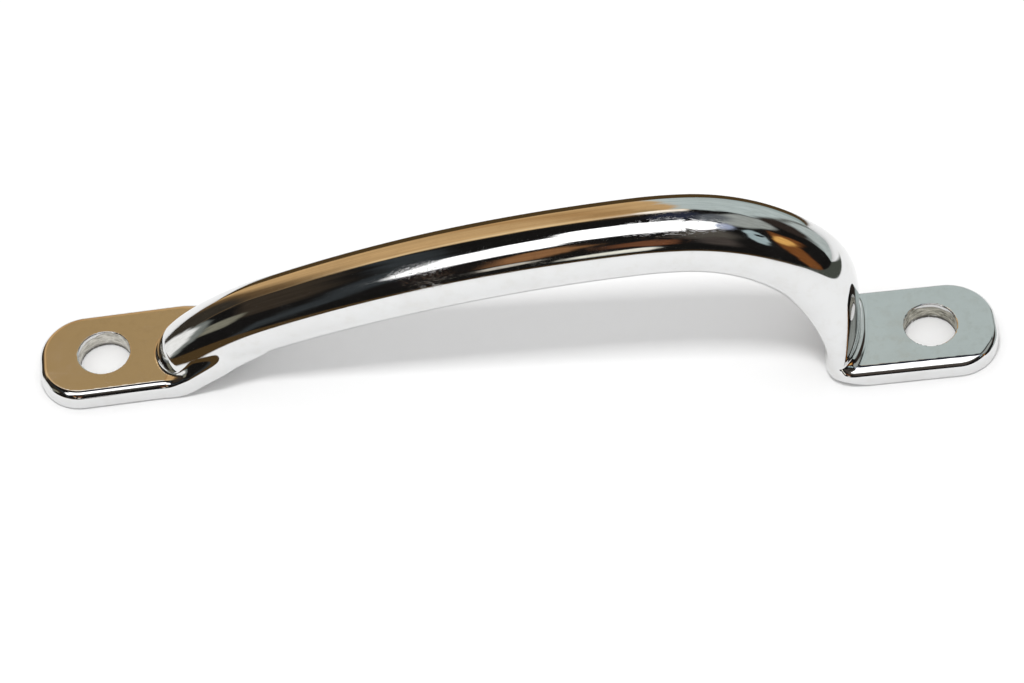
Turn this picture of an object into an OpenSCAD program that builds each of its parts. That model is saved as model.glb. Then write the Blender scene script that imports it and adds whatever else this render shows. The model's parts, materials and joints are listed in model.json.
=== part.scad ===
// Chromed grab rail: a round swept grip that rises at a shallow angle from one
// drilled foot, crests near the other end and drops almost plumb onto the second foot.
// X runs along the line through the two fixing holes, Z is up from the mounting face.
// The origin is midway between the hole centres, on the mounting face.

/* [Fixing] */
// Distance between the two fixing holes
hole_spacing = 165; // [155:1:185]
// Diameter of each fixing hole
hole_d = 10.4; // [6:0.1:11]

/* [Feet] */
// Width of each foot
foot_w = 20.9; // [20:0.1:24]
// Thickness of each foot
foot_t = 4.4; // [3.5:0.1:5]
// Distance from the hole centre to the rounded outer end
foot_end = 13.2; // [12.5:0.1:16]
// Radius on the upper edge of each foot
edge_r = 1.5; // [0.8:0.1:1.8]
// Plan radius of each foot's outer corner at the front
front_corner_r = 8.6; // [6:0.1:10]
// Plan radius of each foot's outer corner at the back
back_corner_r = 9.6; // [6:0.1:10]
// Radius on the lower edge of each foot
base_r = 0.6; // [0.3:0.1:1]
// Size of the softened lip round the top of each hole
hole_lip = 0.4; // [0.2:0.1:0.8]
// Skew of the low foot against the line of holes, in degrees
low_skew = 6.8; // [0:0.2:8]
// Skew of the tall foot against the line of holes, in degrees
tall_skew = 5; // [0:0.2:6]

/* [Grip] */
// Diameter of the round bar where the hand holds it
grip_d = 15.2; // [13:0.1:16]
// Diameter of the rounded nose where the bar starts
nose_d = 14.4; // [12:0.1:15]
// Distance from the low foot's hole to the centre of the nose
nose_offset = 18; // [17:0.1:20]
// Climb angle of the bar as it leaves the low foot
root_lift = 44; // [38:0.5:48]
// Climb angle where the long back of the bar begins
back_lift = 22.5; // [20:0.5:26]
// Climb angle where the crown begins
crown_lift = 7.5; // [5:0.5:10]
// Bend radius of the root
root_r = 54; // [45:1:60]
// Bend radius of the crown
crown_r = 70; // [50:1:80]
// Bend radius of the shoulder that turns the bar down to the tall foot
shoulder_r = 31; // [27:0.5:32]

/* [Tall foot joint] */
// Distance from the tall foot's hole to the middle of the leg
leg_offset = 16.6; // [15:0.1:19]
// Width of the leg where it lands on the foot
leg_w = 17.6; // [14:0.1:18]
// Thickness of the leg where it lands on the foot
leg_t = 8.4; // [6:0.1:9]

/* [Weld beads] */
// Leg length of the bead at the foot of each joint
bead = 1.4; // [0.8:0.1:2]

/* [Hidden] */

steel = "silver";
bead_steel = "gainsboro";
big = 400;

low_hole = [-hole_spacing / 2, 0, 0];
tall_hole = [hole_spacing / 2, 0, 0];
end_r = foot_w / 2;

// Centreline of the bar: four arcs in the XZ plane, turning from the climb at the
// nose to level at the peak and to plumb at the leg. The long back takes whatever
// radius closes the distance between the two feet.
nose = [-hole_spacing / 2 + nose_offset, foot_t - 0.4];
leg_x = hole_spacing / 2 - leg_offset;
climb = [root_lift, back_lift, crown_lift, 0, -90];
back_r = (leg_x - nose[0] - shoulder_r - root_r * (sin(root_lift) - sin(back_lift))
    - crown_r * sin(crown_lift)) / (sin(back_lift) - sin(crown_lift));
bend = [root_r, back_r, crown_r, shoulder_r];
steps = [9, 11, 5, 16];
leg_sink = 5;

// Start point of arc number k.
function arc_start(k) = k == 0 ? nose
    : arc_start(k - 1) + bend[k - 1] * [sin(climb[k - 1]) - sin(climb[k]),
                                        cos(climb[k]) - cos(climb[k - 1])];
// A station on the centreline: [x, z, climb angle].
function on_arc(k, t) =
    let (a = climb[k] + (climb[k + 1] - climb[k]) * t,
         p = arc_start(k) + bend[k] * [sin(climb[k]) - sin(a), cos(a) - cos(climb[k])])
    [p[0], p[1], a];

function ease(t) = let (c = min(1, max(0, t))) c * c * (3 - 2 * c);
// How far the section has changed from round bar to flat leg at climb angle a.
function flatten(a) = ease((-38 - a) / 50);
// How far the diameter has grown from the nose to the hand grip at place x.
function swell(x) = ease((x - nose[0]) / 60);
function mix(a, b, t) = a + (b - a) * t;

// Half width, half thickness and corner power of the section at station s.
function half_w(s) = mix(mix(nose_d, grip_d, swell(s[0])) / 2, leg_w / 2, flatten(s[2]));
function half_t(s) = mix(mix(nose_d, grip_d, swell(s[0])) / 2, leg_t / 2, flatten(s[2]));
function corner(s) = mix(2, 3.4, flatten(s[2]));
function signed_power(v, p) = sign(v) * pow(abs(v), p);

sides = 32;
// One ring of points at station s, its size scaled by k.
function ring(s, k = 1) = [
    for (i = [0 : sides - 1])
        let (q = 360 * i / sides,
             u = k * half_w(s) * signed_power(cos(q), 2 / corner(s)),
             v = k * half_t(s) * signed_power(sin(q), 2 / corner(s)),
             turn = tall_skew * flatten(s[2]),
             x = s[0] - v * sin(s[2]))
        [x + u * sin(-turn), u * cos(turn), s[1] + v * cos(s[2])]
];

// Round nose: shrinking rings behind the first station.
nose_steps = 6;
nose_rings = [
    for (i = [1 : nose_steps])
        let (q = 90 * (1 - i / (nose_steps + 0.5)),
             d = -nose_d / 2 * sin(q))
        ring([nose[0] + d * cos(root_lift), nose[1] + d * sin(root_lift), root_lift], cos(q))
];
bar_rings = [
    for (k = [0 : 3])
        for (i = [0 : steps[k] - 1])
            ring(on_arc(k, i / steps[k]))
];
leg_end = on_arc(3, 1);
leg_rings = [ring(leg_end), ring([leg_end[0], leg_end[1] - leg_sink, -90])];
all_rings = concat(nose_rings, bar_rings, leg_rings);

// Closed skin over a list of rings that all have the same number of points.
module skin(rings) {
    n = len(rings[0]);
    last = len(rings) - 1;
    points = [for (r = rings) each r];
    walls = [
        for (j = [0 : last - 1])
            for (i = [0 : n - 1])
                each [
                    [j * n + i, (j + 1) * n + i, (j + 1) * n + (i + 1) % n],
                    [j * n + i, (j + 1) * n + (i + 1) % n, j * n + (i + 1) % n]
                ]
    ];
    start_cap = [[for (i = [0 : n - 1]) i]];
    end_cap = [[for (i = [n - 1 : -1 : 0]) last * n + i]];
    polyhedron(points = points, faces = concat(start_cap, walls, end_cap), convexity = 6);
}

// The whole swept bar, running on below the tops of the feet.
module swept_bar() {
    skin(all_rings);
}

// Everything below the plane on which the bar stands.
module below_foot_top() {
    translate([-big / 2, -big / 2, foot_t - big])
        cube([big, big, big]);
}

// Outline of a foot's edge seen end on: x is the distance in from the rim.
module edge_profile(depth) {
    intersection() {
        square([depth, foot_t]);
        union() {
            translate([edge_r, 0])
                square([depth, foot_t]);
            translate([0, base_r])
                square([depth, foot_t - edge_r - base_r]);
            translate([edge_r, foot_t - edge_r])
                circle(r = edge_r, $fn = 48);
            translate([base_r, base_r])
                circle(r = base_r, $fn = 32);
            translate([base_r, 0])
                square([depth, foot_t - edge_r]);
        }
    }
}

// Round pad of radius r with the foot's edge all round it.
module round_pad(r) {
    rotate_extrude($fn = 96)
        intersection() {
            translate([r, 0])
                mirror([1, 0])
                    edge_profile(r);
            square([r, foot_t]);
        }
}

// Half of a straight strip with its edge along +Y, from x = start to x = finish.
module half_strip(start, finish) {
    translate([start, 0, 0])
        rotate([90, 0, 90])
            linear_extrude(finish - start)
                translate([foot_w / 2, 0])
                    mirror([1, 0])
                        edge_profile(foot_w / 2);
}

// Flat foot with two rounded outer corners, running inwards along +X to finish.
// right_r and left_r are the corner radii on its -Y and +Y sides.
module foot_blank(finish, right_r, left_r) {
    translate([-foot_end + right_r, -foot_w / 2 + right_r, 0])
        round_pad(right_r);
    translate([-foot_end + left_r, foot_w / 2 - left_r, 0])
        round_pad(left_r);
    half_strip(-foot_end + left_r, finish);
    mirror([0, 1, 0])
        half_strip(-foot_end + right_r, finish);
    // Straight end between the two corners.
    translate([-foot_end, foot_w / 2 - left_r, 0])
        rotate([90, 0, 0])
            linear_extrude(foot_w - left_r - right_r)
                edge_profile(max(left_r, right_r) + 1);
}

// Fixing hole with its softened lip, through a foot that stands on z = 0.
module fixing_hole() {
    translate([0, 0, -1])
        cylinder(d = hole_d, h = foot_t + 2, $fn = 96);
    translate([0, 0, foot_t - hole_lip])
        cylinder(d1 = hole_d, d2 = hole_d + 4 * hole_lip, h = 2 * hole_lip, $fn = 96);
}

// Low foot: its underside curves up from the mounting face and its sides draw in,
// so that it runs out under the bar.
low_flat = 13;
low_length = 29.5;
low_tip_r = 5.6;
sweep_r = 32;
neck_start = [10, 16];
neck_points = 14;
module low_foot() {
    color(steel)
        translate(low_hole)
            difference() {
                intersection() {
                    rotate([0, 0, low_skew])
                        foot_blank(low_length + 5, front_corner_r, back_corner_r);
                    low_underside();
                    low_outline();
                }
                fixing_hole();
            }
}

// Side view of the low foot: flat, then swept up on a large radius.
module low_underside() {
    union() {
        translate([-big, -big / 2, -1])
            cube([big + low_flat, big, foot_t + 2]);
        translate([low_flat, big / 2, sweep_r])
            rotate([90, 0, 0])
                cylinder(r = sweep_r, h = big, $fn = 180);
    }
}

// Edge of the low foot's neck at distance x past the hole, on the front
// (side = -1) or the back (side = 1).
function neck_edge(x, side) =
    let (start = neck_start[(side + 1) / 2])
    mix(side * end_r / cos(low_skew) + x * tan(low_skew), side * low_tip_r,
        ease((x - start) / (low_length - low_tip_r - start)));

// Plan view of the low foot: full width round the hole, drawn in to a round tip.
module low_outline() {
    tip_x = low_length - low_tip_r;
    neck_x = [for (i = [0 : neck_points]) low_flat + (tip_x - low_flat) * i / neck_points];
    translate([0, 0, -1])
        linear_extrude(foot_t + 2)
            union() {
                polygon(concat(
                    [[-big / 4, big / 4], [-big / 4, -big / 4]],
                    [for (x = neck_x) [x, neck_edge(x, -1)]],
                    [for (i = [neck_points : -1 : 0]) [neck_x[i], neck_edge(neck_x[i], 1)]]
                ));
                translate([tip_x, 0])
                    circle(r = low_tip_r, $fn = 48);
            }
}

// Tall foot: a flat pad whose inner corners are rounded under the leg.
tall_length = leg_offset + leg_t / 2;
inner_r = 6;
heel_r = 3.6;
module tall_foot() {
    color(steel)
        translate(tall_hole)
            rotate([0, 0, 180 + tall_skew])
                difference() {
                    union() {
                        foot_blank(tall_length - inner_r, back_corner_r, front_corner_r);
                        tall_heel();
                    }
                    fixing_hole();
                    heel_cut();
                }
}

// Inner end of the tall foot, with rounded corners in plan.
module tall_heel() {
    heel_x = tall_length - inner_r;
    for (side = [-1, 1])
        translate([heel_x, side * (end_r - inner_r), 0])
            cylinder(r = inner_r, h = foot_t, $fn = 72);
    translate([heel_x - leg_t / 2, -(end_r - inner_r), 0])
        cube([inner_r + leg_t / 2, foot_w - 2 * inner_r, foot_t]);
}

// Removes the square lower corner of the heel and leaves a round one.
module heel_cut() {
    difference() {
        translate([tall_length - heel_r, -foot_w, -1])
            cube([heel_r + 1, 2 * foot_w, heel_r + 1]);
        translate([tall_length - heel_r, foot_w, heel_r])
            rotate([90, 0, 0])
                cylinder(r = heel_r, h = 2 * foot_w, $fn = 72);
    }
}

// Grip: one round bar from the nose on the low foot to the leg on the tall foot.
module grip_bar() {
    color(steel)
        difference() {
            swept_bar();
            below_foot_top();
        }
}

// Hollow weld section with its corner at the origin.
module bead_section() {
    difference() {
        translate([-bead, 0])
            square([2 * bead, bead]);
        translate([bead, bead])
            circle(r = bead, $fn = 48);
    }
}

// Weld bead round the nose, on top of the low foot.
module low_weld_bead() {
    color(bead_steel)
        difference() {
            translate([nose[0], 0, foot_t])
                rotate([0, 0, 80])
                    rotate_extrude(angle = 200, $fn = 96)
                        translate([nose_d / 2, 0])
                            bead_section();
            swept_bar();
        }
}

// Weld bead along the outer face of the leg, on top of the tall foot.
module tall_weld_bead() {
    bead_length = leg_w - 3;
    color(bead_steel)
        difference() {
            translate([leg_x, 0, foot_t])
                rotate([0, 0, tall_skew])
                    translate([leg_t / 2, bead_length / 2, 0])
                        rotate([90, 0, 0])
                            linear_extrude(bead_length)
                                bead_section();
            swept_bar();
        }
}

grip_bar();
low_foot();
tall_foot();
low_weld_bead();
tall_weld_bead();
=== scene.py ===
import json
import math

import bmesh
import bpy
import numpy as np
from mathutils import Matrix, Vector


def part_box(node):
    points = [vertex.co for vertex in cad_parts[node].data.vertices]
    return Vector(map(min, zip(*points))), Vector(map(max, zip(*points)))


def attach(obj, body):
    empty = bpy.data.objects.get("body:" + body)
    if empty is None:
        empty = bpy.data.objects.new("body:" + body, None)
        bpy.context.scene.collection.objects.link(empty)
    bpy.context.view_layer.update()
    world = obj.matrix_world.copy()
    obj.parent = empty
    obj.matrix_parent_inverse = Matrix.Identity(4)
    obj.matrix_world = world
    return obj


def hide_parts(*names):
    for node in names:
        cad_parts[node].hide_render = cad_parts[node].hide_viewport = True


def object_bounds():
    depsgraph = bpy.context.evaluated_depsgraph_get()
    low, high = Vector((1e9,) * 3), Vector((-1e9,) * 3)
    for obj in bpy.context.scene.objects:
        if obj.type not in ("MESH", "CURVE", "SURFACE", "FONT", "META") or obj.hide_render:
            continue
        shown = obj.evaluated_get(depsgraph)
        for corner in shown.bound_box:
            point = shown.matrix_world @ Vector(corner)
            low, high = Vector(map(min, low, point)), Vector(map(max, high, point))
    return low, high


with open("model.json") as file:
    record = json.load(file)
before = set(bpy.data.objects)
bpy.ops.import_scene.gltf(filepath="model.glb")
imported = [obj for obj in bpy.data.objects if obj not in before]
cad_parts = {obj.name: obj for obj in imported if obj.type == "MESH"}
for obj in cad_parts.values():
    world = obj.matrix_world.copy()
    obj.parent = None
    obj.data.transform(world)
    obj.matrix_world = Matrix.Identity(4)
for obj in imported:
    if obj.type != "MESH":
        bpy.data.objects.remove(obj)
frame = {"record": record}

CAD_BOX = [list(corner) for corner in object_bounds()]

# ---------------------------------------------------------------- sizes, in millimetres
# Shape work is done in millimetres and scaled once, when a mesh is made.
MM = 0.001
MOUNTS = {m["name"]: m for m in frame["record"]["mounts"]}
HOLE_X = MOUNTS["fixing_holes"]["dims"]["spacing_x_mm"] / 2
HOLE_R = MOUNTS["fixing_holes"]["dims"]["hole_r_mm"]
FOOT_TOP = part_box("low_foot")[1].z / MM
PLATE_TOP = FOOT_TOP - 0.1

# The feet: half width, reach past the hole, corner radii in plan and edge radii.
FOOT_HALF = 10.45
FOOT_END = 13.2
FRONT_CORNER = 8.6
BACK_CORNER = 9.6
LOW_EDGE_R = 1.6
BEVEL = 1.76
BEVEL_SLOPE = math.radians(27)
BASE_R = 0.6
LIP_R = 0.2
LOW_SKEW = math.radians(6.8)
TALL_SKEW = math.radians(5.0)

# The bar: where it starts, where its leg stands, and its half sizes.
NOSE = (-HOLE_X + 18.0, FOOT_TOP - 0.4)
LEG_X = HOLE_X - 16.6
NOSE_R = 7.15
GRIP_R = 7.5
LEG_HALF_W = 9.6
LEG_HALF_T = 3.35
LEG_SHIFT = -0.9
LEG_PULL = 0.85
LEG_SKEW = math.radians(-2.0)
# How steeply the centreline climbs where one arc hands over to the next.
CLIMB = [math.radians(a) for a in (44.0, 22.5, 7.5, 0.0, -90.0)]
ROOT_R = 54.0
CROWN_R = 70.0
SHOULDER_R = 31.0

# The fillets where the bar stands on a foot.
LOW_FILLET = 0.6
TALL_FILLET = 2.0

# The low foot's root: how far past the hole it starts to climb at its front and its back
# edge, how steeply, how much it eases off and after how long, and its mean slope.
ROOT_START = (12.6, 22.0)
ROOT_CLIMB = 0.54
ROOT_EASED = 0.40
ROOT_EASE_AT = 11.2
ROOT_SLOPE = 0.35

# The tall foot's heel, inside the leg: its corner radius and how far it stands out.
HEEL_R = 5.0
HEEL_LEDGE = 0.3

# The spacing of the grid that the skin is built on.
CELL = 0.33


# ---------------------------------------------------------------- small helpers
def ease(t):
    t = np.clip(t, 0.0, 1.0)
    return t * t * (3.0 - 2.0 * t)


def fade(value, start, reach):
    """0 up to the start, 1 from a reach further on, and a smooth change between."""
    return ease((value - start) / reach)


def mix(a, b, t):
    return a + (b - a) * t


def ramp(d, soft):
    """Zero before d = -soft, d itself after d = soft, and a smooth bend between."""
    bend = (d + soft) ** 2 / (4.0 * soft)
    return np.where(d < -soft, 0.0, np.where(d > soft, d, bend))


def round_union(a, b, r):
    """Two distances joined with a fillet of radius r."""
    return np.maximum(r, np.minimum(a, b)) - np.hypot(np.maximum(r - a, 0), np.maximum(r - b, 0))


def round_cut(a, b, r):
    """The overlap of two distances, its outer edge rounded to radius r."""
    return np.minimum(-r, np.maximum(a, b)) + np.hypot(np.maximum(r + a, 0), np.maximum(r + b, 0))


# ---------------------------------------------------------------- the bar
def bar_arcs():
    """Four arcs in the XZ plane from the nose to the top of the leg."""
    s = [math.sin(a) for a in CLIMB]
    reach = LEG_X - NOSE[0] - SHOULDER_R - ROOT_R * (s[0] - s[1]) - CROWN_R * (s[2] - s[3])
    radii = (ROOT_R, reach / (s[1] - s[2]), CROWN_R, SHOULDER_R)
    x, z = NOSE
    arcs = []
    for r, a, b in zip(radii, CLIMB[:-1], CLIMB[1:]):
        cx, cz = x + r * math.sin(a), z - r * math.cos(a)
        arcs.append((cx, cz, r, a, b))
        x, z = cx - r * math.sin(b), cz + r * math.cos(b)
    return arcs, (x, z)


ARCS, LEG_TOP = bar_arcs()


def nearest_on_bar(x, z):
    """Offset above the centreline, offset behind its start, climb angle and place along X."""
    best = np.full(x.shape, 1e9)
    over, behind = np.zeros_like(x), np.zeros_like(x)
    climb, place = np.zeros_like(x), np.zeros_like(x)
    for number, (cx, cz, r, a, b) in enumerate(ARCS):
        h = np.clip(np.arctan2(cx - x, z - cz), b, a)
        dx, dz = x - (cx - r * np.sin(h)), z - (cz + r * np.cos(h))
        d = np.hypot(dx, dz)
        nearer = d < best
        best = np.where(nearer, d, best)
        over = np.where(nearer, dz * np.cos(h) - dx * np.sin(h), over)
        along = dx * np.cos(h) + dz * np.sin(h)
        behind = np.where(nearer, np.maximum(-along, 0.0) if number == 0 else 0.0, behind)
        climb = np.where(nearer, h, climb)
        place = np.where(nearer, cx - r * np.sin(h), place)
    leg = (z < LEG_TOP[1]) & (np.abs(x - LEG_TOP[0]) < best)
    over = np.where(leg, x - LEG_TOP[0], over)
    behind = np.where(leg, 0.0, behind)
    climb = np.where(leg, -math.pi / 2, climb)
    place = np.where(leg, LEG_TOP[0], place)
    return over, behind, climb, place


def bar_distance(x, y, z):
    """Distance to the round bar, which flattens to a wide leg as it turns down."""
    over, behind, climb, place = nearest_on_bar(x, z)
    flat = ease((math.radians(-45) - climb) / math.radians(45))
    radius = mix(NOSE_R, GRIP_R, fade(place, NOSE[0], 60.0))
    shift = flat * LEG_SHIFT
    half_w, half_t = mix(radius, LEG_HALF_W, flat), mix(radius, LEG_HALF_T, flat)
    over = over + (y - shift) * np.tan(LEG_SKEW * flat) + LEG_PULL * flat
    # The leg's outer front corner is drawn in; its other corners are fuller.
    power = mix(2.0, np.where((over > 0) & (y < shift), 1.75, 3.2), flat)
    u = np.hypot(y - shift, behind) / half_w + 1e-9
    v = np.abs(over) / half_t + 1e-9
    size = (u ** power + v ** power) ** (1.0 / power)
    slope = np.hypot(u ** (power - 1) / half_w, v ** (power - 1) / half_t) / size ** (power - 1)
    return (size - 1.0) / slope, over


# ---------------------------------------------------------------- the feet
def foot_plan(u, across, front_r, back_r):
    """Plan distance of a foot: u runs inwards from the hole, across runs to the back."""
    r = np.where(across < 0, front_r, back_r)
    du, dv = -FOOT_END - u, np.abs(across) - FOOT_HALF
    inside = np.minimum(np.maximum(du + r, dv + r), 0.0)
    return inside + np.hypot(np.maximum(du + r, 0), np.maximum(dv + r, 0)) - r


def low_axes(x, y):
    c, s = math.cos(LOW_SKEW), math.sin(LOW_SKEW)
    return (x + HOLE_X) * c + y * s, y * c - (x + HOLE_X) * s


def low_climb_start(across):
    """How far past the hole the low foot leaves the mounting face: sooner at the front."""
    return mix(*ROOT_START, np.clip((across / FOOT_HALF + 1) / 2, -0.1, 1.1))


def low_distance(x, y, z):
    """The low foot with its root, which climbs and draws in to become the bar."""
    u, across = low_axes(x, y)
    past = x + HOLE_X
    d = u - low_climb_start(across)
    climb = ROOT_CLIMB * ramp(d, 1.8) - ROOT_EASED * ramp(d - ROOT_EASE_AT, 2.0)
    top = (z - PLATE_TOP - climb) * math.cos(ROOT_SLOPE)
    # The sides draw in from the foot's width to the bar's.
    outline = foot_plan(u, across, FRONT_CORNER, BACK_CORNER)
    front = mix(outline - 0.3 * fade(past, 11.0, 6.0), -y - NOSE_R, fade(past, 24.5, 6.0))
    back = mix(outline, y - NOSE_R, fade(past, 19.0, 14.0))
    side = np.where(across < 0, front, back)
    bar, over = bar_distance(x, y, z)
    # Past the nose the root stays below the bar's widest line.
    top = np.maximum(top, over - 60.0 * (1.0 - fade(past, 22.0, 6.0)))
    pad = round_cut(top, side, mix(LOW_EDGE_R, 2.4, fade(past, 14.5, 4.5)))
    # Its underside lifts off the mounting face with the bar's, and gets rounder.
    lift = 0.6 * ramp(past - 17.4, 1.8) - 0.6 * fade(past, 24.0, 6.0)
    under_r = mix(BASE_R, 2.0, fade(past, 15.0, 6.0)) + fade(past, 24.0, 8.0)
    pad = round_cut(pad, lift - z, under_r)
    # Further in, the root shrinks away inside the bar.
    pad = pad + 6.0 * fade(past, 33.0, 13.0)
    fillet = mix(mix(LOW_FILLET, 2.0, fade(past, 15.0, 4.0)), 0.5, fade(past, 24.0, 5.0))
    whole = round_union(bar, pad, fillet)
    return round_cut(whole, -z, mix(BASE_R, 2.6, fade(past, 13.0, 9.0)))


def tall_axes(x, y):
    c, s = math.cos(TALL_SKEW), math.sin(TALL_SKEW)
    return -((x - HOLE_X) * c + y * s), y * c - (x - HOLE_X) * s


def tall_distance(x, y, z):
    """The tall foot with the leg that lands on it."""
    u, across = tall_axes(x, y)
    inner = HOLE_X - LEG_X + LEG_PULL + LEG_HALF_T + HEEL_LEDGE
    plan = foot_plan(u, across, FRONT_CORNER, BACK_CORNER)
    heel = round_cut(u - inner, np.abs(across) - FOOT_HALF, HEEL_R)
    side = np.maximum(plan, heel)
    # The front edge has a wide polished bevel; the other edges are simply rounded.
    top, inset = z - PLATE_TOP, across + FOOT_HALF - BEVEL
    bevel = top * math.cos(BEVEL_SLOPE) - inset * math.sin(BEVEL_SLOPE)
    edge_r = mix(0.8, 1.4, fade(across, 1.0 - FOOT_HALF, 3.0))
    pad = round_cut(round_cut(top, bevel, 0.11), side, edge_r)
    # The fillet on the leg's outer side dies out along the flanks.
    outer = fade(x, LEG_X - 2.0, 3.0) * ease((FOOT_HALF - np.abs(across)) / 2.0)
    fillet = mix(0.8, TALL_FILLET, outer)
    whole = round_union(bar_distance(x, y, z)[0], pad, fillet)
    return round_cut(whole, -z, mix(BASE_R, 2.2, fade(u, 13.0, 5.0)))


def handle_distance(x, y, z):
    """The whole handle, each hole's rims rounded over."""
    solid = np.where(x < 0, low_distance(x, y, z), tall_distance(x, y, z))
    bore = HOLE_R - np.hypot(np.abs(x) - HOLE_X, y)
    return round_cut(solid, bore, LIP_R)


# ---------------------------------------------------------------- turning a distance into a mesh
def gradient(points, step=0.02):
    """The slope of the distance, and the distance, at each point."""
    parts = []
    for axis in range(3):
        shift = np.zeros(3)
        shift[axis] = step
        parts.append(handle_distance(*(points + shift).T) - handle_distance(*(points - shift).T))
    slope = np.stack(parts, 1) / (2 * step)
    return slope, handle_distance(*points.T)


def settle(points, rounds=4):
    """Moves points onto the surface."""
    for _ in range(rounds):
        slope, value = gradient(points)
        steep = np.maximum((slope ** 2).sum(1), 0.05)
        points = points - slope * np.clip(value / steep, -CELL, CELL)[:, None]
    return points


def sample_grid():
    """Distances on a regular grid, worked out only near the bar and the feet."""
    low = np.array([c / MM for c in CAD_BOX[0]]) - 3 * CELL
    high = np.array([c / MM for c in CAD_BOX[1]]) + 3 * CELL
    count = np.ceil((high - low) / CELL).astype(int) + 1
    axes = [low[k] + CELL * np.arange(count[k]) for k in range(3)]
    values = np.full(count, 1.0)
    strip = 24
    for start in range(0, count[0], strip):
        xs = axes[0][start:start + strip]
        x, y, z = np.meshgrid(xs, axes[1], axes[2], indexing="ij")
        values[start:start + strip] = handle_distance(x, y, z)
    return values, low


def net_mesh(values, low):
    """One vertex in each grid cell that the surface crosses, and one quad for each crossed edge."""
    inside = values < 0
    shape = np.array(values.shape) - 1
    total = np.zeros((*shape, 3))
    count = np.zeros(shape)
    corners = [(i, j, k) for i in (0, 1) for j in (0, 1) for k in (0, 1)]
    for a in corners:
        for axis in range(3):
            if a[axis]:
                continue
            b = tuple(v + (n == axis) for n, v in enumerate(a))
            sa = tuple(slice(a[n], a[n] + shape[n]) for n in range(3))
            sb = tuple(slice(b[n], b[n] + shape[n]) for n in range(3))
            va, vb = values[sa], values[sb]
            crossed = inside[sa] != inside[sb]
            t = np.where(crossed, va / np.where(crossed, va - vb, 1.0), 0.0)
            for n in range(3):
                place = a[n] + (t if n == axis else 0.0)
                total[..., n] += np.where(crossed, place, 0.0)
            count += crossed
    cells = np.argwhere(count > 0)
    index = np.full(shape, -1)
    index[tuple(cells.T)] = np.arange(len(cells))
    points = total[tuple(cells.T)] / count[tuple(cells.T)][:, None] + cells
    quads = []
    for axis in range(3):
        one, two = [n for n in range(3) if n != axis]
        ahead = [slice(None)] * 3
        ahead[axis] = slice(1, None)
        here = [slice(None)] * 3
        here[axis] = slice(None, -1)
        crossing = np.argwhere(inside[tuple(here)] != inside[tuple(ahead)])
        crossing = crossing[(crossing[:, one] > 0) & (crossing[:, two] > 0)]
        ring = []
        for s, t in ((1, 1), (0, 1), (0, 0), (1, 0)):
            cell = crossing.copy()
            cell[:, one] -= s
            cell[:, two] -= t
            ring.append(index[tuple(cell.T)])
        quad = np.stack(ring, 1)
        outward = inside[tuple(crossing.T)] ^ (axis == 1)
        quad[~outward] = quad[~outward][:, ::-1]
        quads.append(quad)
    return low + points * CELL, np.concatenate(quads)


def relax(points, quads, rounds=6):
    """Evens out the quads, keeping every vertex on the surface."""
    edges = np.concatenate([quads[:, [k, (k + 1) % 4]] for k in range(4)])
    for _ in range(rounds):
        total = np.zeros_like(points)
        count = np.zeros(len(points))
        np.add.at(total, edges[:, 0], points[edges[:, 1]])
        np.add.at(total, edges[:, 1], points[edges[:, 0]])
        np.add.at(count, edges.ravel(), 1)
        points = settle(mix(points, total / count[:, None], 0.6), 1)
    return settle(points, 2)


# ---------------------------------------------------------------- the five pieces
# The height where the bar and the beads stand on the feet.
SPLIT = PLATE_TOP + 0.08
# Each bead: the place along X where it ends, and its top.
LOW_BEAD = (NOSE[0] + 1.5, FOOT_TOP + 1.4)
TALL_BEAD = (LEG_X + 1.6, FOOT_TOP + 2.4)
BEAD_WALL = 0.6


def cut(bm, near, point, across):
    """Cuts the faces whose centre passes the test along a plane."""
    faces = [f for f in bm.faces if near(f.calc_center_median())]
    edges = {e for f in faces for e in f.edges}
    verts = {v for f in faces for v in f.verts}
    bmesh.ops.bisect_plane(bm, geom=faces + list(edges) + list(verts), dist=1e-5,
                           plane_co=point, plane_no=across)


def whole_handle():
    """The handle as one closed skin, cut along the lines where its pieces meet."""
    values, low = sample_grid()
    points, quads = net_mesh(values, low)
    points = relax(settle(points), quads)
    mesh = bpy.data.meshes.new("whole")
    mesh.from_pydata(points.tolist(), [], quads.tolist())
    bm = bmesh.new()
    bm.from_mesh(mesh)
    bpy.data.meshes.remove(mesh)
    up, right = (0, 0, 1), (1, 0, 0)
    (low_x, low_z), (tall_x, tall_z) = LOW_BEAD, TALL_BEAD
    cut(bm, lambda c: abs(c.z - SPLIT) < 2 and abs(c.x) < HOLE_X, (0, 0, SPLIT), up)
    cut(bm, lambda c: c.x < low_x + 1 and 0 < c.z - SPLIT < 3, (0, 0, low_z), up)
    cut(bm, lambda c: c.x > tall_x - 1 and 0 < c.z - SPLIT < 3, (0, 0, tall_z), up)
    cut(bm, lambda c: abs(c.x - low_x) < 1 and c.z < low_z, (low_x, 0, 0), right)
    cut(bm, lambda c: abs(c.x - tall_x) < 1 and c.z < tall_z, (tall_x, 0, 0), right)
    return bm


def piece_at(c):
    if c.z < SPLIT:
        return "low_foot" if c.x < 0 else "tall_foot"
    if c.x < LOW_BEAD[0] and c.z < LOW_BEAD[1]:
        return "low_weld_bead"
    if c.x > TALL_BEAD[0] and c.z < TALL_BEAD[1]:
        return "tall_weld_bead"
    return "grip_bar"


def close_with_caps(bm):
    """Flat caps over the open ends, where another piece joins."""
    rim = [e for e in bm.edges if e.is_boundary]
    caps = bmesh.ops.holes_fill(bm, edges=rim, sides=0)["faces"]
    return bmesh.ops.triangulate(bm, faces=caps)["faces"]


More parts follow.
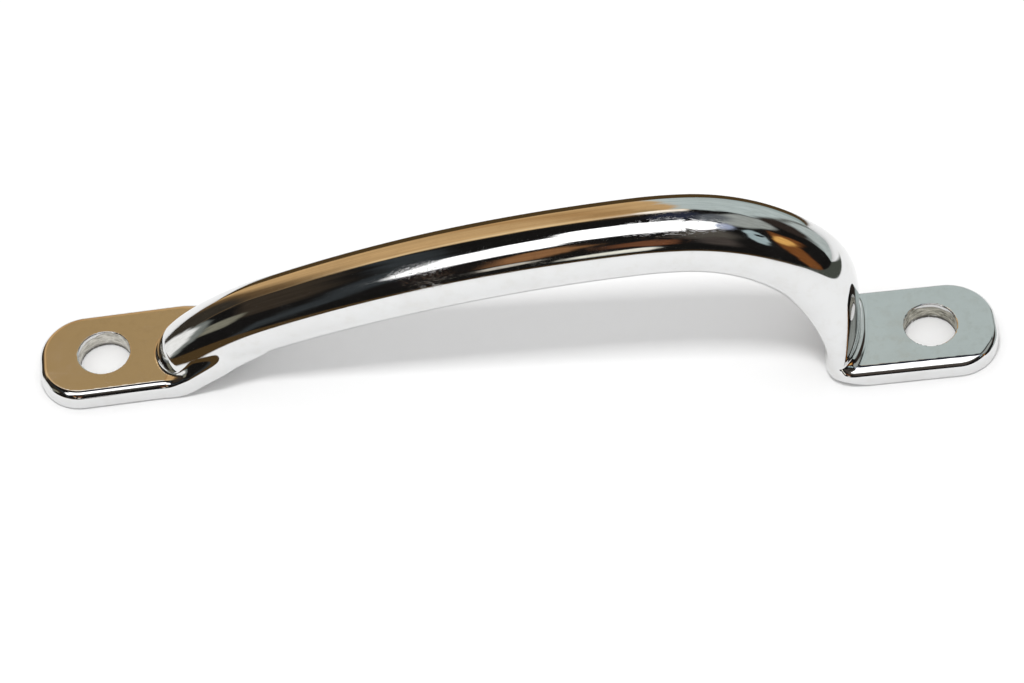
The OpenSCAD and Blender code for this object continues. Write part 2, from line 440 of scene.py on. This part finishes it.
def close_as_shell(bm, wall):
    """An inner skin a wall's thickness inside, joined to the outer one round its rim."""
    outer = list(bm.verts)
    slope, _ = gradient(np.array([v.co for v in outer]))
    slope /= np.linalg.norm(slope, axis=1)[:, None]
    rim = [(e.verts[0], e.verts[1], e.link_loops[0]) for e in bm.edges if e.is_boundary]
    faces = [list(f.verts) for f in bm.faces]
    inner = {v: bm.verts.new(v.co - Vector(n) * wall) for v, n in zip(outer, slope)}
    made = [bm.faces.new([inner[v] for v in reversed(face)]) for face in faces]
    for a, b, loop in rim:
        if loop.vert is not a:
            a, b = b, a
        made.append(bm.faces.new((b, a, inner[a], inner[b])))
    return made


def make_piece(whole, name):
    """One piece as a closed mesh whose outer skin is shaded by the exact slope of the shape."""
    bm = whole.copy()
    others = [f for f in bm.faces if piece_at(f.calc_center_median()) != name]
    bmesh.ops.delete(bm, geom=others, context="FACES")
    if name.endswith("bead"):
        inner = close_as_shell(bm, BEAD_WALL)
    else:
        inner = close_with_caps(bm)
    for face in bm.faces:
        face.smooth = True
    bm.normal_update()
    bm.verts.index_update()
    hidden = set(inner)
    slope, _ = gradient(np.array([v.co for v in bm.verts]))
    slope /= np.maximum(np.linalg.norm(slope, axis=1), 1e-9)[:, None]
    normals = []
    for face in bm.faces:
        if face in hidden:
            normals += [tuple(face.normal)] * len(face.loops)
        else:
            normals += [tuple(slope[loop.vert.index]) for loop in face.loops]
    for vert in bm.verts:
        vert.co *= MM
    mesh = bpy.data.meshes.new(name + "_skin")
    bm.to_mesh(mesh)
    bm.free()
    mesh.normals_split_custom_set(normals)
    piece = bpy.data.objects.new(name + "_skin", mesh)
    bpy.context.scene.collection.objects.link(piece)
    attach(piece, "root")
    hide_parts(name)
    return piece


# ---------------------------------------------------------------- materials
class Nodes:
    """Short forms for building a node tree."""

    def __init__(self, tree):
        self.tree = tree
        tree.nodes.clear()

    def add(self, kind, settings=None, **inputs):
        made = self.tree.nodes.new(kind)
        for key, value in (settings or {}).items():
            setattr(made, key, value)
        for key, value in inputs.items():
            self.plug(made.inputs[key.replace("_", " ")], value)
        return made

    def plug(self, socket, value):
        if isinstance(value, bpy.types.NodeSocket):
            self.tree.links.new(value, socket)
        else:
            socket.default_value = value

    def math(self, operation, a, b=0.0, c=0.0, clamp=False):
        made = self.tree.nodes.new("ShaderNodeMath")
        made.operation, made.use_clamp = operation, clamp
        for socket, value in zip(made.inputs, (a, b, c)):
            self.plug(socket, value)
        return made.outputs[0]

    def vector(self, operation, a, b=(0, 0, 0)):
        made = self.tree.nodes.new("ShaderNodeVectorMath")
        made.operation = operation
        self.plug(made.inputs[0], a)
        self.plug(made.inputs[1], b)
        return made.outputs[0]

    def span(self, value, low, high, to_low=0.0, to_high=1.0, smooth=True):
        made = self.tree.nodes.new("ShaderNodeMapRange")
        made.interpolation_type = "SMOOTHSTEP" if smooth else "LINEAR"
        for key, given in (("Value", value), ("From Min", low), ("From Max", high),
                           ("To Min", to_low), ("To Max", to_high)):
            self.plug(made.inputs[key], given)
        return made.outputs["Result"]

    def noise(self, where, scale, detail=2.0, rough=0.5):
        return self.add("ShaderNodeTexNoise", Vector=where, Scale=scale, Detail=detail,
                        Roughness=rough).outputs["Fac"]

    def grained(self, where, rotation, scale):
        return self.add("ShaderNodeMapping", Vector=where, Rotation=rotation, Scale=scale).outputs[0]

    def blend(self, factor, a, b):
        made = self.tree.nodes.new("ShaderNodeMix")
        made.data_type = "RGBA"
        self.plug(made.inputs["Factor"], factor)
        for name, value in (("A", a), ("B", b)):
            socket = [i for i in made.inputs if i.name == name and i.type == "RGBA"][0]
            self.plug(socket, value if isinstance(value, bpy.types.NodeSocket) else (*value, 1.0))
        return [o for o in made.outputs if o.type == "RGBA"][0]


CHROME = (0.750, 0.755, 0.755)
CHROME_DULL = (0.722, 0.725, 0.722)
CHROME_CLOUDED = (0.690, 0.684, 0.665)
# Scuffed patches: middle, then half length and half height, in millimetres.
SCUFFS = [((-16.0, -5.0, 31.5), (9.0, 4.0)), ((34.0, -3.5, 41.5), (15.0, 4.0))]
# How far the plating runs down the wall of a hole, in millimetres.
PLATING_RUN = 0.9
# What each kind of mark adds to the roughness, and to the height in millimetres.
ROUGHER = {"scratches": 0.06, "hairs": 0.16, "cloud": 0.03, "wall": 0.42}
HIGHER = {"scratches": -0.0008, "hairs": -0.0037, "pits": -0.05, "drilled": 0.25}


def wear(n, mm):
    """Masks from 0 to 1 for the marks on the plating, by name."""
    # Long fine scratches lie along the bar, a few short ones across.
    along = n.grained(mm, (0.2, 0.1, 0.35), (0.06, 1.2, 1.2))
    across = n.grained(mm, (0.5, 0.3, -0.9), (0.09, 1.5, 1.5))
    scratch_a = n.span(n.noise(along, 1.4, 3.0), 0.64, 0.72)
    scratch_b = n.span(n.noise(across, 1.5, 3.0), 0.64, 0.70)
    scratches = n.math("MULTIPLY", n.math("MAXIMUM", scratch_a, scratch_b), 0.5)
    # Scuffed patches, where hair-fine marks cross each other.
    scuffed = 0.0
    for place, reach in SCUFFS:
        away = n.vector("SUBTRACT", mm, place)
        away = n.vector("MULTIPLY", away, (1 / reach[0], 1 / reach[1], 1 / reach[1]))
        far = n.add("ShaderNodeVectorMath", {"operation": "LENGTH"}, Vector=away).outputs["Value"]
        scuffed = n.math("MAXIMUM", scuffed, n.span(far, 1.0, 0.3))
    hair_a = n.span(n.noise(n.grained(mm, (0.3, 0.0, 0.6), (0.5, 7.0, 7.0)), 1.0, 3.0), 0.58, 0.66)
    hair_b = n.span(n.noise(n.grained(mm, (0.1, 0.6, -0.5), (0.6, 8.0, 8.0)), 1.0, 3.0), 0.60, 0.66)
    hairs = n.math("MULTIPLY", n.math("MAXIMUM", hair_a, hair_b), scuffed)
    # Single pits, in a few of the cells of a coarse pattern.
    cells = n.add("ShaderNodeTexVoronoi", Vector=mm, Scale=0.16)
    draw = n.add("ShaderNodeSeparateColor", Color=cells.outputs["Color"]).outputs[0]
    pits = n.math("MULTIPLY", n.span(cells.outputs["Distance"], 0.055, 0.02), n.span(draw, 0.86, 0.88))
    # Broad smears and smaller clouds of tarnish.
    smear = n.span(n.noise(mm, 0.11, 4.0), 0.45, 0.75)
    cloud = n.span(n.noise(mm, 0.45, 5.0, 0.6), 0.45, 0.72)
    return {"scratches": scratches, "hairs": hairs, "pits": pits, "smear": smear, "cloud": cloud}


def bore_wall(n, at, mm):
    """Where the bare drilled wall of a hole is, and its colour, with a painted shadow at its foot."""
    x, y, z = n.add("ShaderNodeSeparateXYZ", Vector=at).outputs
    bore = HOLE_R * MM
    off = n.math("SUBTRACT", n.math("ABSOLUTE", x), HOLE_X * MM)
    radius = n.math("SQRT", n.math("ADD", n.math("MULTIPLY", off, off), n.math("MULTIPLY", y, y)))
    edge = n.math("MULTIPLY", n.math("SUBTRACT", n.noise(mm, 0.9, 3.0), 0.5), 0.4 * MM)
    wall = n.span(n.math("ADD", radius, edge), bore + 0.12 * MM, bore + 0.04 * MM)
    # The plating has run a little way down the wall, on one side of each hole.
    turn = n.math("MULTIPLY", off, n.math("SIGN", x))
    low_run = n.span(turn, 0.1 * bore, -0.5 * bore, 0.0, PLATING_RUN * MM)
    middle = n.math("ABSOLUTE", n.math("SUBTRACT", turn, 0.15 * bore))
    tall_run = n.span(middle, 0.9 * bore, 0.4 * bore, 0.0, PLATING_RUN * MM)
    run = n.math("ADD", n.math("MULTIPLY", low_run, n.math("LESS_THAN", x, 0.0)),
                 n.math("MULTIPLY", tall_run, n.math("GREATER_THAN", x, 0.0)))
    deeper = n.math("SUBTRACT", n.math("SUBTRACT", PLATE_TOP * MM, z), n.math("ADD", run, edge))
    wall = n.math("MULTIPLY", wall, n.span(deeper, -0.05 * MM, 0.15 * MM))
    # Rings left by the drill, paler in the low foot, darker in the tall one.
    rings = n.grained(mm, (0, 0, 0), (0.5, 0.5, 1.7))
    streaks = n.span(n.noise(rings, 1.3, 6.0, 0.65), 0.32, 0.66)
    pale = n.blend(streaks, (0.46, 0.44, 0.39), (0.84, 0.82, 0.76))
    deep = n.blend(streaks, (0.13, 0.125, 0.09), (0.66, 0.64, 0.56))
    bore_colour = n.blend(n.span(x, -10 * MM, 10 * MM), pale, deep)
    # Painted shadow: the wall darkens towards its lower rim, where the foot sits on the floor and
    # shade falls in the bore.
    painted_rim_shadow = n.span(n.math("ADD", z, edge), 1.4 * MM, 0.4 * MM)
    return wall, n.blend(painted_rim_shadow, bore_colour, (0.09, 0.085, 0.075))


def chrome(name):
    """Polished plating with fine wear; the wall of a bore stays rough and grey, with a painted shadow
    round its lower rim.
    """
    material = bpy.data.materials.new(name)
    material.use_nodes = True
    n = Nodes(material.node_tree)
    at = n.add("ShaderNodeTexCoord").outputs["Object"]
    mm = n.vector("DIVIDE", at, (MM, MM, MM))
    marks = wear(n, mm)
    marks["wall"], bore_colour = bore_wall(n, at, mm)

    shade = n.blend(marks["smear"], CHROME, CHROME_DULL)
    shade = n.blend(n.math("MULTIPLY", marks["cloud"], 0.5), shade, CHROME_CLOUDED)
    shade = n.blend(n.math("MULTIPLY", marks["pits"], 0.8), shade, (0.08, 0.06, 0.05))
    # The bore wall's colour carries the painted shadow round its lower rim.
    shade = n.blend(marks["wall"], shade, bore_colour)
    metal = n.span(marks["wall"], 0.0, 1.0, 1.0, 0.75)

    rough = n.span(marks["smear"], 0.0, 1.0, 0.045, 0.085)
    for mark, adds in ROUGHER.items():
        rough = n.math("ADD", rough, n.math("MULTIPLY", marks[mark], adds), clamp=True)

    # Hand polishing leaves the plating faintly wavy.
    marks["drilled"] = n.math("MULTIPLY", marks["wall"], n.noise(mm, 1.6, 5.0))
    height = n.math("MULTIPLY", n.noise(mm, 0.16), 0.012)
    for mark, adds in HIGHER.items():
        height = n.math("ADD", height, n.math("MULTIPLY", marks[mark], adds))
    bump = n.add("ShaderNodeBump", Height=height, Strength=1.0, Distance=MM).outputs[0]
    shader = n.add("ShaderNodeBsdfPrincipled", Base_Color=shade, Metallic=metal,
                   Roughness=rough, Normal=bump)
    n.add("ShaderNodeOutputMaterial", Surface=shader.outputs[0])
    return material


# ---------------------------------------------------------------- studio
ROOM_LIGHT = 0.78
KEY_LIGHT = 2.75
SHEET_REACH = 6.0
# How far behind the handle the pale sheet ends in reflections, where the painted reflection of the
# table begins, as its reflections show.
SHEET_BACK = 0.045


def seen(red, green, blue):
    """The brightness that looks like this 8-bit colour once the plating has reflected it."""
    made = []
    for value, kept in zip((red, green, blue), CHROME):
        value /= 255
        linear = value / 12.92 if value <= 0.04045 else ((value + 0.055) / 1.055) ** 2.4
        made.append(linear / kept)
    return tuple(made)


def floor():
    """A pale sheet under the handle; beyond its edges it glows dark in reflections only, a painted
    reflection of the table.
    """
    mesh = bpy.data.meshes.new("floor")
    bm = bmesh.new()
    bmesh.ops.create_grid(bm, x_segments=4, y_segments=4, size=SHEET_REACH)
    bm.to_mesh(mesh)
    bm.free()
    plane = bpy.data.objects.new("floor", mesh)
    plane.location.z = -0.00002
    bpy.context.scene.collection.objects.link(plane)
    material = bpy.data.materials.new("pale_sheet")
    material.use_nodes = True
    n = Nodes(material.node_tree)
    at = n.add("ShaderNodeTexCoord").outputs["Object"]
    x, y, _ = n.add("ShaderNodeSeparateXYZ", Vector=at).outputs
    # The sheet's back edge bows away at both ends; its front edge is straight.
    aside = n.math("MAXIMUM", n.math("SUBTRACT", n.math("ABSOLUTE", x), 0.06), 0.0)
    bow = n.math("MULTIPLY", aside, 1.3)
    behind = n.math("SUBTRACT", n.math("SUBTRACT", y, SHEET_BACK), bow)
    table = n.span(behind, -0.006, 0.006)
    # Behind and to the right, a painted reflection of a pale wall that comes down to the table.
    wall_reflection_glow = n.math("MULTIPLY", n.span(behind, 0.015, 0.035), n.span(x, 0.10, 0.16))
    front = n.span(y, -0.46, -0.54)
    # Its left edge runs forward from beside the low foot.
    leaned = n.math("SUBTRACT", x, n.math("MULTIPLY", n.math("ADD", y, 0.03), 0.15))
    left = n.math("MULTIPLY", n.span(leaned, -0.074, -0.080), n.span(y, -0.027, -0.033))
    right = n.span(n.math("ADD", x, n.math("MULTIPLY", y, 0.6)), 0.160, 0.175)
    right = n.math("MULTIPLY", right, n.span(y, 0.06, 0.04))
    glossy = n.add("ShaderNodeLightPath").outputs["Is Glossy Ray"]
    white = n.add("ShaderNodeBsdfDiffuse", Color=(0.90, 0.90, 0.90, 1.0))
    # Seen by glossy rays only, the sheet glows these colours instead of its white: painted reflections
    # of the table, the wall and a dull patch.
    dark = n.add("ShaderNodeEmission", Color=(*seen(70, 54, 32), 1.0))
    dull = n.add("ShaderNodeEmission", Color=(*seen(66, 70, 64), 1.0))
    wall = n.add("ShaderNodeEmission", Color=(*seen(150, 162, 160), 1.0))
    shader = white.outputs[0]
    for where, other in ((table, dark), (wall_reflection_glow, wall), (front, dark), (left, dark), (right, dull)):
        mixed = n.tree.nodes.new("ShaderNodeMixShader")
        n.plug(mixed.inputs[0], n.math("MULTIPLY", where, glossy))
        n.plug(mixed.inputs[1], shader)
        n.plug(mixed.inputs[2], other.outputs[0])
        shader = mixed.outputs[0]
    n.add("ShaderNodeOutputMaterial", Surface=shader)
    mesh.materials.append(material)


# What hangs in the room. A box: angle up from the back and over the top, from and to, in
# degrees; how far to the right, from and to; slant in degrees per unit right; softness in
# degrees and in units right. An oval: middle angle and place, half sizes, slant, softness.
PANELS = [
    ("box", 56, 190, -2.0, 2.0, 0, 3, 0.05, seen(20, 19, 18)),
    ("box", -90, 34, -2.0, -0.10, 0, 12, 0.05, seen(184, 150, 104)),
    ("box", 28, 56, -2.0, -0.06, 0, 8, 0.05, seen(184, 150, 104)),
    ("box", 54, 61, -2.0, 0.01, 0, 5, 0.06, seen(216, 184, 136)),
    ("oval", 51.5, -0.17, 5, 0.07, 0, 0.9, 0, seen(158, 132, 91)),
    ("box", -90, 62, -2.0, -0.60, 0, 10, 0.12, seen(92, 72, 48)),
    ("box", -90, 62, -2.0, -0.71, 0, 10, 0.12, seen(50, 45, 38)),
    ("oval", 59, -0.12, 4.5, 0.14, 0, 0.6, 0, seen(250, 240, 225)),
    ("box", -90, 60, -0.29, -0.22, 30, 20, 0.10, seen(160, 124, 80)),
    ("box", -90, 35, 0.62, 2.0, 0, 12, 0.10, seen(168, 176, 174)),
    ("box", -8, 62, 0.60, 0.66, -60, 6, 0.08, seen(90, 92, 88)),
    ("oval", 50, 0.75, 16, 0.18, 0, 0.7, 0, seen(45, 38, 34)),
    ("oval", 79, 0.50, 21, 0.24, 0, 0.35, 0, seen(146, 150, 146)),
    ("oval", 82, 0.24, 12, 0.15, -20, 0.9, 0, seen(90, 94, 98)),
    ("oval", 76, -0.02, 12, 0.14, 0, 0.9, 0, seen(38, 42, 56)),
    ("oval", 132, 0.18, 16, 0.22, 0, 0.8, 0, seen(78, 74, 68)),
    ("oval", 152, 0.22, 12, 0.14, 0, 0.8, 0, seen(64, 58, 54)),
    ("oval", 153, -0.12, 9, 0.09, 20, 0.5, 0, seen(104, 66, 44)),
    ("oval", 145, -0.31, 12, 0.05, 0, 0.6, 0, seen(130, 92, 60)),
    ("oval", 170, -0.15, 6, 0.07, 0, 0.4, 0, seen(228, 226, 214)),
    ("oval", 163, -0.30, 4, 0.025, 0, 0.6, 0, seen(190, 184, 172)),
    ("box", 62, 200, -0.60, -0.52, 0, 10, 0.05, seen(46, 50, 52)),
    ("box", 64, 128, -0.80, -0.65, 0, 10, 0.08, seen(50, 43, 35)),
    ("box", 112, 142, -0.90, -0.78, 0, 8, 0.05, seen(118, 116, 102)),
    ("box", 60, 175, -0.95, -0.90, 0, 10, 0.03, seen(112, 116, 112)),
    ("box", -90, 200, -2.0, -0.94, 0, 6, 0.03, seen(232, 232, 230)),
    ("box", 96, 182, 0.72, 0.89, 0, 8, 0.05, seen(112, 68, 34)),
    ("oval", 117, 0.79, 14, 0.07, 0, 0.6, 0, seen(208, 158, 88)),
    ("oval", 125, 0.58, 19, 0.08, 0, 0.3, 0, seen(150, 166, 168)),
    ("oval", 119, 0.61, 4, 0.04, 0, 0.4, 0, seen(26, 28, 30)),
    ("oval", 106, 0.15, 13, 0.20, 0, 0.12, 0, seen(300, 300, 300)),
    ("oval", 106, 0.36, 9, 0.09, 0, 0.7, 0, seen(150, 158, 180)),
    ("box", 91, 122, -0.36, -0.015, 0, 2, 0.02, seen(300, 300, 300)),
    ("box", 103, 131, -0.52, -0.34, -28, 3, 0.03, seen(300, 300, 300)),
]


def panel_mask(n, turn, x, kind, a, b, c, d, slant, soft_a, soft_b):
    """Where one panel is, from 0 to 1, with soft edges."""
    if kind == "oval":
        leaned = n.math("SUBTRACT", turn, n.math("MULTIPLY", n.math("SUBTRACT", x, b), slant))
        u = n.math("DIVIDE", n.math("SUBTRACT", leaned, a), c)
        v = n.math("DIVIDE", n.math("SUBTRACT", x, b), d)
        far = n.math("SQRT", n.math("ADD", n.math("MULTIPLY", u, u), n.math("MULTIPLY", v, v)))
        return n.span(far, 1 + soft_a / 2, 1 - soft_a / 2)
    middle = (max(c, -1.0) + min(d, 1.0)) / 2
    leaned = n.math("SUBTRACT", turn, n.math("MULTIPLY", n.math("SUBTRACT", x, middle), slant))
    mask = n.math("MULTIPLY", n.span(leaned, a - soft_a / 2, a + soft_a / 2),
                  n.span(leaned, b + soft_a / 2, b - soft_a / 2))
    mask = n.math("MULTIPLY", mask, n.span(x, c - soft_b / 2, c + soft_b / 2))
    return n.math("MULTIPLY", mask, n.span(x, d + soft_b / 2, d - soft_b / 2))


def room():
    """The room as the plating sees it: a wall behind, softboxes overhead, darkness in front."""
    world = bpy.data.worlds.new("room")
    bpy.context.scene.world = world
    world.use_nodes = True
    n = Nodes(world.node_tree)
    way = n.add("ShaderNodeTexCoord").outputs["Generated"]
    x, y, z = n.add("ShaderNodeSeparateXYZ", Vector=way).outputs
    turn = n.math("DEGREES", n.math("ARCTAN2", z, y))
    turn = n.math("ADD", turn, n.math("MULTIPLY", n.math("LESS_THAN", turn, -90.0), 360.0))
    # Nothing in a room has a ruled edge.
    sway = n.add("ShaderNodeTexNoise", Vector=way, Scale=3.5, Detail=3.0)
    stir = n.add("ShaderNodeSeparateColor", Color=sway.outputs["Color"]).outputs
    turn = n.math("ADD", turn, n.span(stir[0], 0.3, 0.7, -2.5, 2.5, smooth=False))
    x = n.math("ADD", x, n.span(stir[1], 0.3, 0.7, -0.025, 0.025, smooth=False))
    shade = seen(170, 180, 178)
    for kind, a, b, c, d, slant, soft_a, soft_b, colour in PANELS:
        mask = panel_mask(n, turn, x, kind, a, b, c, d, slant, soft_a, soft_b)
        shade = n.blend(mask, shade, colour)
    streaks = n.add("ShaderNodeMapping", Vector=way, Scale=(2.0, 9.0, 9.0)).outputs[0]
    streaks = n.add("ShaderNodeTexNoise", Vector=streaks, Scale=2.0, Detail=4.0).outputs["Fac"]
    strength = n.span(streaks, 0.25, 0.75, 0.80, 1.18, smooth=False)
    glow = n.add("ShaderNodeBackground", Color=shade, Strength=strength)
    plain = n.add("ShaderNodeBackground", Color=(1, 1, 1, 1), Strength=ROOM_LIGHT)
    glossy = n.add("ShaderNodeLightPath").outputs["Is Glossy Ray"]
    mixed = n.tree.nodes.new("ShaderNodeMixShader")
    n.plug(mixed.inputs[0], glossy)
    n.plug(mixed.inputs[1], plain.outputs[0])
    n.plug(mixed.inputs[2], glow.outputs[0])
    n.add("ShaderNodeOutputWorld", Surface=mixed.outputs[0])


def overhead_light():
    """One large soft light, a little in front, throws the soft shadow."""
    data = bpy.data.lights.new("overhead", "AREA")
    data.shape = "RECTANGLE"
    data.size, data.size_y = 0.16, 0.12
    data.energy = KEY_LIGHT
    light = bpy.data.objects.new("overhead", data)
    forward, height = 0.15, 0.76
    light.location = (0.0, -forward, height)
    light.rotation_euler = (math.atan2(forward, height), 0, 0)
    light.visible_glossy = False
    bpy.context.scene.collection.objects.link(light)


def camera():
    """Looks down from the front, a little to the right, slightly rolled."""
    up_angle, turn, roll = math.radians(51.66), math.radians(6.06), math.radians(6.70)
    level = math.cos(up_angle)
    back = Vector((math.sin(turn) * level, -math.cos(turn) * level, math.sin(up_angle)))
    side = Vector((math.cos(turn), math.sin(turn), 0))
    rise = back.cross(side)
    right = side * math.cos(roll) - rise * math.sin(roll)
    up = side * math.sin(roll) + rise * math.cos(roll)
    data = bpy.data.cameras.new("view")
    data.sensor_width, data.lens = 36.0, 136.8
    data.clip_start = 0.01
    cam = bpy.data.objects.new("view", data)
    target, away = Vector((-0.0008, 0.0027, 0)), 0.780
    place = target + back * away
    rows = [(right[i], up[i], back[i], place[i]) for i in range(3)]
    cam.matrix_world = Matrix((*rows, (0, 0, 0, 1)))
    bpy.context.scene.collection.objects.link(cam)
    bpy.context.scene.camera = cam


# ---------------------------------------------------------------- the whole
def build():
    whole = whole_handle()
    plating = {"grip_bar": "grip_chrome", "low_foot": "foot_chrome", "tall_foot": "foot_chrome",
               "low_weld_bead": "bead_chrome", "tall_weld_bead": "bead_chrome"}
    made = {}
    for name, slot in plating.items():
        piece = make_piece(whole, name)
        if slot not in made:
            made[slot] = chrome(slot)
        piece.data.materials.append(made[slot])
    whole.free()


build()
floor()
room()
overhead_light()
camera()
view = bpy.context.scene.view_settings
view.view_transform = "Standard"
view.look = "None"

bpy.context.view_layer.update()
